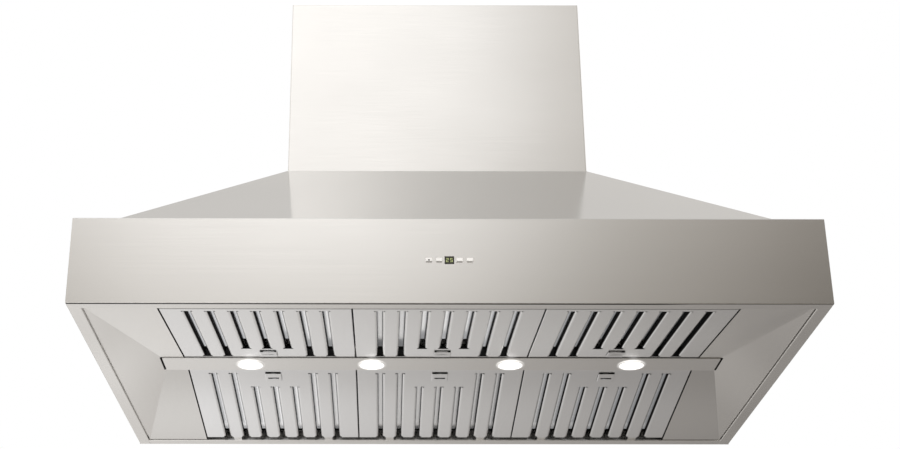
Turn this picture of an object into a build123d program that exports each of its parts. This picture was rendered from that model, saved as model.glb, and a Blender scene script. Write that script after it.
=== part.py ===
"""Wall-mounted canopy range hood for a barbecue, as separate sheet-metal pieces.

The wall is the plane y = 0, the hood's front is at y = -DEPTH, z = 0 is the rim's underside
and x = 0 is the middle. All sizes are millimetres and degrees.
"""
from build123d import *
import math
import os

# Canopy
WIDTH = 1219.2
DEPTH = 812.8
BAND_HEIGHT = 149.2
BODY_HEIGHT = 457.2          # rim to the top of the slopes
SHEET = 1.2
BEND_INSIDE = 0.8            # inside radius of the sheet's bends
RIM_WIDTH = 22.0             # level flange round the underside
RIM_LIP = 8.0                # lip that stands up from the flange
REAR_LIP = 4.5               # the same on the rear rim
LEDGE = 31.0                 # level shelf between the band and the slopes
LEDGE_LAP = 12.0             # rest of the shelf, under the feet of the slopes
REAR_LEG = 30.0              # leg of the rear rim on the back panel
WALL_HOLE_R = 4.5
WALL_HOLE_SPACING = 406.4    # one stud bay
WALL_HOLE_RISE = 120.0
WALL_HOLE_LOW = 190.0        # lower row above the rim

# Duct cover and what it hides
COVER_WIDTH = 591.0
COVER_DEPTH = 352.0
COVER_HEIGHT = 381.0
COVER_RETURN = 25.0          # flange along the wall
BRACKET_HEIGHT = 40.0
BRACKET_ARM = 45.0
BRACKET_DROP = 25.0          # below the cover's top
BRACKET_SHEET = 1.5
SCREW_HEAD_R = 4.5
SCREW_HEAD_HEIGHT = 2.4
SCREW_R = 2.4
SCREW_LENGTH = 10.0
SCREW_HOLE_GAP = 0.2
COLLAR_R = 126.0             # for a 252 mm duct
COLLAR_WALL = 1.0
COLLAR_HEIGHT = 58.0
COLLAR_FLANGE = 12.0
ROD_R = 2.5
ROD_RISE = 22.0              # rod above the top plate
FLAP_SHEET = 0.8
FLAP_GAP = 1.4               # flap's rim to the collar's wall
FLAP_REST_GAP = 0.3
BARREL_WALL = 1.4
BARREL_COUNT = 4
BARREL_LENGTH = 44.0
BARREL_GAP = 0.6
PIN_GAP = 0.1                # radial play on the damper rod
BARREL_NOTCH = 1.0           # flap's straight edge to the other flap's barrels
LUG_WIDTH = 12.0
LUG_REACH = 6.0
LUG_HEIGHT = 3.0

# Blower
WHEEL_R = 80.0
WHEEL_LENGTH = 170.0
WHEEL_RING = 4.0
BLADE_COUNT = 32
BLADE_DEPTH = 19.5
BLADE_BULGE = 3.4            # depth of the blade's fold
BLADE_SHEET = 0.8
BLADE_LEAN = 6.0             # degrees between the blade's two edges
BLADE_BITE = 0.5             # blades stop short of the rings' rims by this
DISC_SHEET = 1.5
HUB_R = 13.0
HUB_LENGTH = 24.0
SHAFT_R = 4.0
SHAFT_GAP = 0.05
SCROLL_GAP = 9.0             # wheel to the scroll's tongue
SCROLL_STEP = 12.0           # growth of the scroll at each quarter turn
SCROLL_END_GAP = 12.0        # wheel to the side plates
SCROLL_SHEET = 1.2
TONGUE_SHIFT = 14.0          # tongue in front of the wheel's axis
BLOWER_DROP = 156.0          # axis below the outlet flange
BLOWER_WALL_GAP = 8.0        # scroll to the back panel
INLET_R = 57.0
INLET_LIP = 6.0
OUTLET_FLANGE = 137.0        # half width of the square flange under the top plate
OUTLET_BOLT_INSET = 15.0
BOLT_R = 3.0
BOLT_HEAD_R = 5.5
BOLT_HEAD_HEIGHT = 4.0
BOLT_HOLE_GAP = 0.3
MOTOR_R = 44.0
MOTOR_LENGTH = 94.0
MOTOR_BELL_R = 30.0
MOTOR_BELL_LENGTH = 14.0
MOTOR_REAR = 134.0           # motor's rear face from the middle of the wheel
SHAFT_DEPTH = 45.0           # shaft inside the motor
SHAFT_OVERHANG = 4.0         # shaft past the hub
MOTOR_ARM_COUNT = 3
MOTOR_ARM_R = 74.0
MOTOR_ARM_WIDTH = 16.0
MOTOR_ARM_FOOT = 13.0
MOTOR_ARM_SHEET = 2.0
MOTOR_PLATE_R = 36.0
JUNCTION_SIZE = (90.0, 65.0, 55.0)
JUNCTION_INSET = 65.5        # junction box's middle from the duct cover's side
JUNCTION_Y = -92.0
JUNCTION_SHEET = 1.0
GLAND_R = 11.0
GLAND_BORE_R = 7.0
GLAND_FLANGE = 4.5
GLAND_RISE = 6.0
GLAND_TAIL = 8.0             # gland below the top plate
GLAND_GAP = 0.2

# Liner and light bar
LINER_SHEET = 1.0
LINER_GAP = 2.0              # shadow gap from the rim's lip to the liner
LINER_FOOT = 3.0             # liner's lowest edge above the rim's underside
LINER_TOP = 38.3             # liner's upper edge above the rim's underside
LINER_HOOK = 5.0             # liner's hook past the lip
BAR_DROP = 2.5               # light bar's face below the liner's upper edge
BAR_WIDTH = 65.2
BAR_LENGTH = 1015.0
BAR_GAP = 2.0                # light bar to the liner
BAR_SHEET = 1.2
BAR_BRIM = 20.0
LAMP_OFFSETS = (-350.0, -127.0, 127.0, 350.0)
LAMP_LENS_R = 21.5
LAMP_LENS_DOME = 4.5         # bulge below the light bar's face
LAMP_BEZEL_R = 25.0
LAMP_BEZEL_DROP = 1.6
LAMP_BEZEL_WALL = 1.5
LAMP_SPIGOT = 8.0            # bezel's neck above the light bar's face
LAMP_CAN_HEIGHT = 34.0
LAMP_CAN_BASE = 6.0
LAMP_CAN_GAP = 4.0           # housing to the light bar's walls
LAMP_FIN_COUNT = 7
LAMP_FIN_SHEET = 2.0
LAMP_GAP = 0.2

# Filters, in rows of FILTERS_PER_ROW on both sides of the light bar
FILTERS_PER_ROW = 3
FILTER_WIDTH = 309.6
FILTER_GAP = 2.2             # between filters
FILTER_SHEET = 1.0
PAN_HEIGHT = 19.0
PAN_RETURN = 10.0
PAN_BEND = 1.5               # outer radius of the pan's bends
TROUGH = 11.0                # open gutter between the rim and the filters
FILTER_END_GAP = 5.0         # filter to the light bar
HINGE_GAP = 0.2              # hook above the lip it hangs on
HOOK_WIDTH = 16.0
HOOK_REACH = 5.0             # hook past the lip
STOP_GAP = 0.4               # filter to the light bar's brim
SLOT_COUNT = 7
SLOT_PITCH = 37.2
SLOT_OPENING = 8.0           # between the rolled edges
ROLL_R = 5.0                 # radius of the slots' rolled edges
ROLL_HEIGHT = 9.0
SLOT_RELIEF = 5.0            # cut across the slot's end, past the rolled edges
# Slots' distances from the rim side and the light bar side of a filter, and the latter beside the
# latch; rear slots run out through the rim-side wall
FRONT_SLOTS = (11.5, 5.0, 63.0)
REAR_SLOTS = (-1.0, 14.0, 76.5)
LATCH_SLOTS = (2, 3, 4)
DRAIN_HEIGHT = 15.0          # slots run out through the wall up to here
BAFFLE_WIDTH = 24.0
BAFFLE_LEG = 8.0
BAFFLE_END_GAP = 0.2
BAFFLE_SETBACK = 7.0         # baffle's end short of its slot's end
STRAP_WIDTH = 20.0           # strap that ties the baffles

# Latch of a filter
LATCH_WIDTH = 31.0
LATCH_LENGTH = 32.0
LATCH_INSET = 13.0           # from the filter's light bar end
LATCH_RAISE = 2.0
LATCH_SHEET = 1.0
LATCH_REST_GAP = 0.1
LATCH_TRAVEL = 6.0
FINGER_WIDTH = 20.0
FINGER_LENGTH = 6.0
FINGER_INSET = 14.0          # slot's middle from the latch's rim-side end
STEM_WIDTH = 8.0
STEM_LENGTH = 8.0
STEM_INSET = 18.0            # from the filter's light bar end
STEM_GAP = 0.4
TONGUE_WIDTH = 16.0
TONGUE_RISE = 7.0            # above the face's visible side
TONGUE_SHEET = 1.5
TONGUE_REACH = 2.0           # past the filter's end
KEEPER_MARGIN = 2.0          # keeper slot's room round the tongue

# Controls on the band
CONTROL_RISE = 75.3          # above the rim's underside
BUTTON_NAMES = ("button_fan", "button_slower", "button_faster", "button_light")
BUTTON_OFFSETS = (-32.8, -16.4, 16.4, 32.8)
BUTTON_WIDTH = 10.0
BUTTON_HEIGHT = 6.0
BUTTON_CORNER = 1.0
BUTTON_CROWN = 0.6
BUTTON_PROUD = 3.0
BUTTON_TRAVEL = 1.5
BUTTON_FLANGE = 1.5
BUTTON_FLANGE_SHEET = 1.2
BUTTON_REST_GAP = 0.3
BUTTON_STEM_R = 1.8
BUTTON_SIDE_GAP = 0.35
SWITCH_SIZE = 6.0
SWITCH_HEIGHT = 3.5
DISPLAY_WIDTH = 15.0
DISPLAY_HEIGHT = 13.2
DISPLAY_PROUD = 0.5
DISPLAY_FLANGE = 2.0
DISPLAY_FLANGE_SHEET = 1.0
DISPLAY_GAP = 0.2
BOARD_DEPTH = 16.0           # board's face behind the band's front
BOARD_WIDTH = 108.0
BOARD_HEIGHT = 30.0
BOARD_SHEET = 1.6
TRAY_MARGIN = 6.0            # board's end to the tray's wall
TRAY_FLANGE = 14.0
TRAY_SHEET = 1.0

# Worked out from the sizes above
MIDDLE_Y = -DEPTH / 2
BEND = SHEET + BEND_INSIDE
TOP_Z = BODY_HEIGHT + SHEET
COLLAR_Y = -COVER_DEPTH / 2
JUNCTION_X = COVER_WIDTH / 2 - JUNCTION_INSET
CUT = 5.0                    # how far cutting solids run past what they cut
LINER_LOW = (WIDTH / 2 - RIM_WIDTH - LINER_GAP, DEPTH / 2 - RIM_WIDTH - LINER_GAP)
LINER_HIGH = (BAR_LENGTH / 2 + BAR_GAP, BAR_WIDTH / 2 + BAR_GAP)
SLOPE = math.atan2(LINER_TOP - LINER_FOOT, LINER_LOW[1] - LINER_HIGH[1])
BAR_RISE = LINER_TOP - BAR_DROP
FILTER_END = (LINER_LOW[1] - BAR_WIDTH / 2 - FILTER_END_GAP) / math.cos(SLOPE)
FILTER_LENGTH = FILTER_END - TROUGH
FILTER_PITCH = FILTER_WIDTH + FILTER_GAP
FILTER_ZONE = FILTERS_PER_ROW * FILTER_PITCH + FILTER_GAP
BRIM_Z = LINER_FOOT + FILTER_END * math.sin(SLOPE) + PAN_HEIGHT * math.cos(SLOPE) + STOP_GAP
SLOT_CUT = SLOT_OPENING + 2 * ROLL_R
SCROLL_R = WHEEL_R + SCROLL_GAP
SCROLL_HALF = WHEEL_LENGTH / 2 + SCROLL_END_GAP
BLOWER_Y = -(SHEET + BLOWER_WALL_GAP + SCROLL_SHEET + SCROLL_R)
BLOWER_Z = BODY_HEIGHT - SCROLL_SHEET - BLOWER_DROP

# Front row's filter plane: x across, y up the slope from the liner's foot, z away from the cook
FILTER_PLANE = Plane(
    origin=(0, MIDDLE_Y - LINER_LOW[1], LINER_FOOT),
    x_dir=(1, 0, 0),
    z_dir=(0, -math.sin(SLOPE), math.cos(SLOPE)),
)
# Blower's plane: x to the front, y up, z along the wheel's axis to the left
BLOWER_PLANE = Plane(origin=(0, BLOWER_Y, BLOWER_Z), x_dir=(0, -1, 0), z_dir=(-1, 0, 0))
# Band's outer face: x across, y up, z towards the cook
PANEL_PLANE = Plane(origin=(0, -DEPTH, CONTROL_RISE), x_dir=(1, 0, 0), z_dir=(0, -1, 0))


def prism(x_range, y_range, z_range):
    """Upright solid on a level rectangle."""
    width = x_range[1] - x_range[0]
    depth = y_range[1] - y_range[0]
    middle = Pos((x_range[0] + x_range[1]) / 2, (y_range[0] + y_range[1]) / 2, z_range[0])
    return middle * extrude(Rectangle(width, depth), z_range[1] - z_range[0])


def middle_prism(half, z_range, grow=0.0):
    """Upright solid on a rectangle round the middle of the hood, grown on all sides."""
    x_half = half[0] + grow
    y_half = half[1] + grow
    return prism((-x_half, x_half), (MIDDLE_Y - y_half, MIDDLE_Y + y_half), z_range)


def frustum(low, high, z_range):
    """Solid with flat sides between two level rectangles, each given as its x range and y range."""
    rings = []
    for ((x_0, x_1), (y_0, y_1)), z in zip((low, high), z_range):
        rings.append([(x_0, y_0, z), (x_1, y_0, z), (x_1, y_1, z), (x_0, y_1, z)])
    bottom, top = rings
    outlines = [bottom, top]
    for index in range(4):
        after = (index + 1) % 4
        outlines.append([bottom[index], bottom[after], top[after], top[index]])
    return Solid(Shell([Face(Wire.make_polygon(outline)) for outline in outlines]))


def folded(points, sheet, bend, side):
    """Section of a folded sheet: a bent line through the points, thickened on one side."""
    line = FilletPolyline(*points, radius=bend) if bend else Polyline(*points)
    return make_face(Wire(line.edges()).offset_2d(sheet, side=side, closed=True).edges())


def half_of(shape, point, normal):
    """Part of a shape on the side of a plane to which the normal points."""
    return split(shape, bisect_by=Plane(origin=point, z_dir=normal), keep=Keep.TOP)


def ring(outer, inner, height):
    """Round tube on the local plane."""
    return extrude(Circle(outer) - Circle(inner), height)


def mirrored(shape):
    """The same piece on the other side of the hood."""
    return mirror(shape, about=Plane.YZ)


def group(solids):
    """Separate solids that share one node."""
    return Compound(children=[solid for shape in solids for solid in shape.solids()])


# Canopy

def band_section():
    """Bent section shared by the front band and the end panels, inwards from the outer face."""
    points = (
        (RIM_WIDTH, RIM_LIP),
        (RIM_WIDTH, 0),
        (0, 0),
        (0, BAND_HEIGHT),
        (LEDGE + LEDGE_LAP, BAND_HEIGHT),
    )
    return folded(points, SHEET, BEND, Side.RIGHT)


def control_openings():
    """Holes in the band for the buttons and the display."""
    sketch = Rectangle(DISPLAY_WIDTH + 2 * DISPLAY_GAP, DISPLAY_HEIGHT + 2 * DISPLAY_GAP)
    width = BUTTON_WIDTH + 2 * BUTTON_SIDE_GAP
    height = BUTTON_HEIGHT + 2 * BUTTON_SIDE_GAP
    for offset in BUTTON_OFFSETS:
        sketch += Pos(offset, 0) * RectangleRounded(width, height, BUTTON_CORNER + BUTTON_SIDE_GAP)
    return extrude(PANEL_PLANE * sketch, CUT, both=True)


def front_band():
    plane = Plane(origin=(0, -DEPTH, 0), x_dir=(0, 1, 0), z_dir=(1, 0, 0))
    band = extrude(plane * band_section(), WIDTH / 2, both=True)
    for side in (-1, 1):
        band = half_of(band, (side * WIDTH / 2, -DEPTH, 0), (-side, -1, 0))
    return band - control_openings()


def left_end_panel():
    plane = Plane(origin=(-WIDTH / 2, -SHEET, 0), x_dir=(1, 0, 0), z_dir=(0, -1, 0))
    panel = extrude(plane * band_section(), DEPTH - SHEET)
    return half_of(panel, (-WIDTH / 2, -DEPTH, 0), (-1, 1, 0))


def slope_base():
    """Ranges of the slopes' outline on the ledge."""
    half = WIDTH / 2 - LEDGE
    return (-half, half), (LEDGE - DEPTH, -SHEET)


def slope_top():
    """Ranges of the slopes' outline under the top plate."""
    return (-COVER_WIDTH / 2, COVER_WIDTH / 2), (-COVER_DEPTH, -SHEET)


def slope_panels():
    """Front, left and right slopes, mitred along the hips."""
    base = slope_base()
    top = slope_top()
    rise = BODY_HEIGHT - BAND_HEIGHT
    side_inset = SHEET * math.hypot(rise, base[0][1] - top[0][1]) / rise
    front_inset = SHEET * math.hypot(rise, top[1][0] - base[1][0]) / rise
    levels = (BAND_HEIGHT, BODY_HEIGHT)
    inner = []
    for x_range, y_range in (base, top):
        inner_x = (x_range[0] + side_inset, x_range[1] - side_inset)
        inner.append((inner_x, (y_range[0] + front_inset, y_range[1] + SHEET)))
    shell = frustum(base, top, levels) - frustum(*inner, levels)

    foot = Vector(base[0][0], base[1][0], BAND_HEIGHT)
    hip = Vector(top[0][0], top[1][0], BODY_HEIGHT) - foot
    mitre = hip.cross(Vector(side_inset, front_inset, 0))
    if mitre.Y > 0:
        mitre = -mitre
    left = half_of(half_of(shell, foot, -mitre), (0, 0, 0), (-1, 0, 0))
    front = half_of(shell, foot, mitre)
    front = half_of(front, (-foot.X, foot.Y, foot.Z), (-mitre.X, mitre.Y, mitre.Z))
    return front, left, mirrored(left)


def wall_holes():
    """Places of the four wall fixings, across and above the rim."""
    half = WALL_HOLE_SPACING / 2
    return [(x, z) for z in (WALL_HOLE_LOW, WALL_HOLE_LOW + WALL_HOLE_RISE) for x in (-half, half)]


def back_panel():
    shoulder = slope_base()[0][1]
    right = [
        (WIDTH / 2, 0),
        (WIDTH / 2, BAND_HEIGHT),
        (shoulder, BAND_HEIGHT),
        (COVER_WIDTH / 2, BODY_HEIGHT),
    ]
    left = [(-x, z) for x, z in reversed(right)]
    sketch = make_face(Polyline(*right, *left, close=True).edges())
    for x, z in wall_holes():
        sketch -= Pos(x, z) * Circle(WALL_HOLE_R)
    return extrude(Plane.XZ * sketch, SHEET)


def rear_rim():
    points = ((-SHEET, REAR_LEG), (-SHEET, 0), (-RIM_WIDTH, 0), (-RIM_WIDTH, REAR_LIP))
    section = folded(points, SHEET, BEND, Side.RIGHT)
    return extrude(Plane.YZ * section, WIDTH / 2 - RIM_WIDTH, both=True)


def outlet_bolt_places():
    """Places of the blower's bolts on the top plate."""
    reach = OUTLET_FLANGE - OUTLET_BOLT_INSET
    return [(x, COLLAR_Y + y) for x in (-reach, reach) for y in (-reach, reach)]


def top_plate():
    x_range, y_range = slope_top()
    plate = prism(x_range, (y_range[0], 0), (BODY_HEIGHT, TOP_Z))
    holes = [Pos(0, COLLAR_Y) * Circle(COLLAR_R - COLLAR_WALL)]
    holes += [Pos(JUNCTION_X, JUNCTION_Y) * Circle(GLAND_R + GLAND_GAP)]
    holes += [Pos(x, y) * Circle(BOLT_R + BOLT_HOLE_GAP) for x, y in outlet_bolt_places()]
    for hole in holes:
        plate -= extrude(Pos(0, 0, BODY_HEIGHT) * hole, CUT, both=True)
    return plate


# Duct cover, collar and damper

def screw_places():
    """Heights and depth of the cover's side screws."""
    z = TOP_Z + COVER_HEIGHT - BRACKET_DROP - BRACKET_HEIGHT / 2
    return -BRACKET_ARM / 2, z


def side_holes(shape):
    """Drills a shape across for the cover's screws."""
    y, z = screw_places()
    drill = Plane.YZ * Pos(y, z) * Circle(SCREW_R + SCREW_HOLE_GAP)
    return shape - extrude(drill, COVER_WIDTH, both=True)


def duct_cover():
    half = COVER_WIDTH / 2
    points = (
        (COVER_RETURN - half, 0),
        (-half, 0),
        (-half, -COVER_DEPTH),
        (half, -COVER_DEPTH),
        (half, 0),
        (half - COVER_RETURN, 0),
    )
    section = folded(points, SHEET, BEND, Side.LEFT)
    return side_holes(extrude(Pos(0, 0, TOP_Z) * section, COVER_HEIGHT))


def duct_cover_bracket():
    half = COVER_WIDTH / 2 - SHEET
    points = ((-half, -BRACKET_ARM), (-half, -SHEET), (half, -SHEET), (half, -BRACKET_ARM))
    section = folded(points, BRACKET_SHEET, BRACKET_SHEET + BEND_INSIDE, Side.RIGHT)
    bottom = TOP_Z + COVER_HEIGHT - BRACKET_DROP - BRACKET_HEIGHT
    return side_holes(extrude(Pos(0, 0, bottom) * section, BRACKET_HEIGHT))


def duct_cover_screws():
    y, z = screw_places()
    head = extrude(Circle(SCREW_HEAD_R), SCREW_HEAD_HEIGHT)
    head = chamfer(head.edges().group_by(Axis.Z)[-1], SCREW_HEAD_HEIGHT / 2)
    screw = head + extrude(Circle(SCREW_R), -SCREW_LENGTH)
    right = Plane(origin=(COVER_WIDTH / 2, y, z), z_dir=(1, 0, 0)) * screw
    return group([mirrored(right), right])


def duct_collar():
    base = Pos(0, COLLAR_Y, TOP_Z)
    inner = COLLAR_R - COLLAR_WALL
    collar = ring(COLLAR_R + COLLAR_FLANGE, inner, SHEET) + ring(COLLAR_R, inner, COLLAR_HEIGHT)
    lug_top = ROD_RISE - FLAP_SHEET / 2 - FLAP_REST_GAP
    half = LUG_WIDTH / 2
    bar = prism((-half, half), (-inner - COLLAR_WALL / 2, LUG_REACH - inner), (lug_top - LUG_HEIGHT, lug_top))
    lugs = bar + Rot(0, 0, 180) * bar
    drill = Plane.YZ * Pos(0, ROD_RISE) * Circle(ROD_R + PIN_GAP)
    collar = collar + lugs - extrude(drill, COLLAR_R + CUT, both=True)
    return base * collar


def damper_rod():
    rod = extrude(Plane.YZ * Circle(ROD_R), math.sqrt(COLLAR_R ** 2 - ROD_R ** 2) - PIN_GAP, both=True)
    return Pos(0, COLLAR_Y, TOP_Z + ROD_RISE) * rod


def damper_flap():
    """Front half of the damper, with every second hinge barrel."""
    radius = COLLAR_R - COLLAR_WALL - FLAP_GAP
    barrel_r = ROD_R + PIN_GAP + BARREL_WALL
    edge = barrel_r + BARREL_NOTCH
    disc = Circle(radius) - Pos(0, radius - edge) * Rectangle(2 * radius, 2 * radius)
    flap = extrude(disc, FLAP_SHEET / 2, both=True)
    length = BARREL_LENGTH - BARREL_GAP
    barrel = extrude(Plane.YZ * (Circle(barrel_r) - Circle(ROD_R + PIN_GAP)), length / 2, both=True)
    inside = ROD_R + PIN_GAP + BARREL_WALL / 2
    arm = Pos(0, -(edge + BARREL_NOTCH + inside) / 2) * Rectangle(length, edge + BARREL_NOTCH - inside)
    knuckle = barrel + extrude(arm, FLAP_SHEET / 2, both=True)
    for index in range(0, BARREL_COUNT, 2):
        flap += Pos((index - (BARREL_COUNT - 1) / 2) * BARREL_LENGTH, 0, 0) * knuckle
    return flap


def damper_flaps():
    """Front and rear flaps on the same rod."""
    place = Pos(0, COLLAR_Y, TOP_Z + ROD_RISE)
    front = damper_flap()
    rear = Rot(0, 0, 180) * damper_flap()
    return place * front, place * rear


# Blower

def scroll_face(grow):
    """Scroll's outline: three growing quarter turns and a straight neck, grown outwards."""
    step = SCROLL_STEP
    radius = SCROLL_R + grow
    tongue_x = TONGUE_SHIFT - grow
    tongue = (tongue_x, math.sqrt(radius ** 2 - tongue_x ** 2))
    rear = (-radius, 0)
    bottom = (step, -radius - step)
    front = (radius + 3 * step, step)
    diagonal = math.sqrt(0.5)
    top_middle = (-radius * diagonal, radius * diagonal)
    rear_middle = (step - (radius + step) * diagonal, -(radius + step) * diagonal)
    front_middle = (step + (radius + 2 * step) * diagonal, step - (radius + 2 * step) * diagonal)
    edges = [
        ThreePointArc(tongue, top_middle, rear),
        ThreePointArc(rear, rear_middle, bottom),
        ThreePointArc(bottom, front_middle, front),
        Polyline(front, (front[0], BLOWER_DROP), (tongue_x, BLOWER_DROP), tongue),
    ]
    return make_face([edge for curve in edges for edge in curve.edges()])


def blower_scroll():
    wrapper = extrude(BLOWER_PLANE * (scroll_face(SCROLL_SHEET) - scroll_face(0)), SCROLL_HALF, both=True)
    reach = OUTLET_FLANGE
    top = BODY_HEIGHT
    flange = prism((-reach, reach), (COLLAR_Y - reach, COLLAR_Y + reach), (top - SCROLL_SHEET, top))
    neck = BLOWER_PLANE * scroll_face(0)
    flange -= extrude(neck, SCROLL_HALF, both=True).moved(Location((0, 0, SCROLL_SHEET)))
    for x, y in outlet_bolt_places():
        drill = Pos(x, y, top) * Circle(BOLT_R + BOLT_HOLE_GAP)
        flange -= extrude(drill, CUT, both=True)
    return wrapper + flange


def blower_side():
    """Left side plate, with the inlet's turned-in lip."""
    plate = extrude(scroll_face(SCROLL_SHEET), SCROLL_SHEET)
    plate -= extrude(Circle(INLET_R), SCROLL_SHEET)
    plate += Pos(0, 0, -INLET_LIP) * ring(INLET_R + SCROLL_SHEET, INLET_R, INLET_LIP + SCROLL_SHEET)
    return BLOWER_PLANE * Pos(0, 0, SCROLL_HALF) * plate


def blower_wheel():
    """Cage of forward-curved blades on a middle disc and two end rings."""
    outer = WHEEL_R - BLADE_BITE
    inner = outer - BLADE_DEPTH
    lean = math.radians(BLADE_LEAN)
    start = (inner, 0)
    end = (outer * math.cos(lean), outer * math.sin(lean))
    bulge = ((start[0] + end[0]) / 2, (start[1] + end[1]) / 2 - BLADE_BULGE)
    section = folded((start, bulge, end), BLADE_SHEET, 0, Side.LEFT)
    blade = extrude(section, WHEEL_LENGTH / 2 - WHEEL_RING / 2, both=True)
    end_ring = ring(WHEEL_R, inner - BLADE_BITE, WHEEL_RING)
    wheel = extrude(Circle(outer - BLADE_BITE), DISC_SHEET / 2, both=True)
    wheel += extrude(Circle(HUB_R), HUB_LENGTH / 2, both=True)
    wheel += [Rot(0, 0, 360 * index / BLADE_COUNT) * blade for index in range(BLADE_COUNT)]
    wheel += Pos(0, 0, WHEEL_LENGTH / 2 - WHEEL_RING) * end_ring
    wheel += Pos(0, 0, -WHEEL_LENGTH / 2) * end_ring
    wheel -= extrude(Circle(SHAFT_R + SHAFT_GAP), HUB_LENGTH, both=True)
    return BLOWER_PLANE * wheel


def motor_nose():
    """Distance of the motor's front bell from the middle of the wheel."""
    return MOTOR_REAR - MOTOR_LENGTH


def motor_shaft():
    start = -HUB_LENGTH / 2 - SHAFT_OVERHANG
    length = motor_nose() + SHAFT_DEPTH - start
    return BLOWER_PLANE * Pos(0, 0, start) * extrude(Circle(SHAFT_R), length)


def motor():
    body = extrude(Circle(MOTOR_R), MOTOR_LENGTH - 2 * MOTOR_BELL_LENGTH)
    body = Pos(0, 0, MOTOR_BELL_LENGTH) * body + extrude(Circle(MOTOR_BELL_R), MOTOR_LENGTH)
    body -= extrude(Circle(SHAFT_R + SHAFT_GAP), SHAFT_DEPTH + SHAFT_OVERHANG)
    return BLOWER_PLANE * Pos(0, 0, motor_nose()) * body


def motor_bracket():
    """Three folded arms from the motor's rear face to the left side plate."""
    seat = SCROLL_HALF + SCROLL_SHEET
    points = ((0, MOTOR_REAR), (MOTOR_ARM_R, MOTOR_REAR), (MOTOR_ARM_R, seat), (MOTOR_ARM_R + MOTOR_ARM_FOOT, seat))
    section = folded(points, MOTOR_ARM_SHEET, MOTOR_ARM_SHEET + BEND_INSIDE, Side.LEFT)
    arm = extrude(Plane.XZ * section, MOTOR_ARM_WIDTH / 2, both=True)
    bracket = Pos(0, 0, MOTOR_REAR) * extrude(Circle(MOTOR_PLATE_R), MOTOR_ARM_SHEET)
    bracket += [Rot(0, 0, 90 + 360 / MOTOR_ARM_COUNT * index) * arm for index in range(MOTOR_ARM_COUNT)]
    return BLOWER_PLANE * bracket


def blower_bolts():
    head = extrude(RegularPolygon(BOLT_HEAD_R, 6), BOLT_HEAD_HEIGHT)
    bolt = head + extrude(Circle(BOLT_R), -(SHEET + SCROLL_SHEET + BOLT_HEAD_HEIGHT))
    return group([Pos(x, y, TOP_Z) * bolt for x, y in outlet_bolt_places()])


def junction_ranges(wall):
    """Ranges of the junction box, taken in by its wall."""
    width, depth, height = JUNCTION_SIZE
    x_range = (JUNCTION_X - width / 2 + wall, JUNCTION_X + width / 2 - wall)
    y_range = (JUNCTION_Y - depth / 2 + wall, JUNCTION_Y + depth / 2 - wall)
    return x_range, y_range, (BODY_HEIGHT - height + wall, BODY_HEIGHT - wall)


def junction_box():
    x_range, y_range, z_range = junction_ranges(JUNCTION_SHEET)
    box = prism(*junction_ranges(0)) - prism(x_range, (y_range[0] - CUT, y_range[1]), z_range)
    entry = Pos(JUNCTION_X, JUNCTION_Y, BODY_HEIGHT) * Circle(GLAND_R + GLAND_GAP)
    return box - extrude(entry, -CUT)


def junction_box_lid():
    x_range, y_range, z_range = junction_ranges(0)
    return prism(x_range, (y_range[0] - JUNCTION_SHEET, y_range[0]), z_range)


def cable_gland():
    gland = ring(GLAND_R + GLAND_FLANGE, GLAND_BORE_R, GLAND_RISE)
    gland += Pos(0, 0, -GLAND_TAIL) * ring(GLAND_R, GLAND_BORE_R, GLAND_TAIL)
    return Pos(JUNCTION_X, JUNCTION_Y, TOP_Z) * gland


# Liner, light bar and lamps

def liner():
    """Left liner: a side slope and two cheeks in one folded sheet, hooked over the rim's lip."""
    low = ((-LINER_LOW[0], LINER_LOW[0]), (MIDDLE_Y - LINER_LOW[1], MIDDLE_Y + LINER_LOW[1]))
    high = ((-LINER_HIGH[0], LINER_HIGH[0]), (MIDDLE_Y - LINER_HIGH[1], MIDDLE_Y + LINER_HIGH[1]))
    hollow = frustum(low, high, (LINER_FOOT, LINER_TOP))
    sheet = hollow.moved(Location((0, 0, LINER_SHEET)))
    sheet += middle_prism(LINER_LOW, (LINER_FOOT, LINER_FOOT + LINER_SHEET))
    sheet -= hollow
    sheet -= middle_prism(LINER_HIGH, (LINER_FOOT, BRIM_Z))
    upstand = middle_prism(LINER_HIGH, (LINER_TOP, BRIM_Z), LINER_SHEET)
    upstand -= middle_prism(LINER_HIGH, (LINER_TOP, BRIM_Z))
    inside = -LINER_SHEET
    skirt = middle_prism(LINER_LOW, (LINER_FOOT, RIM_LIP + LINER_SHEET))
    skirt -= middle_prism(LINER_LOW, (LINER_FOOT, RIM_LIP + LINER_SHEET), inside)
    hook_levels = (RIM_LIP, RIM_LIP + LINER_SHEET)
    hook = middle_prism(LINER_LOW, hook_levels, LINER_GAP + SHEET + LINER_HOOK)
    hook -= middle_prism(LINER_LOW, hook_levels, inside)
    return half_of(sheet + upstand + skirt + hook, (-FILTER_ZONE / 2, 0, 0), (-1, 0, 0))


def filter_places():
    """Middle of each filter of a row, across the hood."""
    return [(index - (FILTERS_PER_ROW - 1) / 2) * FILTER_PITCH for index in range(FILTERS_PER_ROW)]


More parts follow.
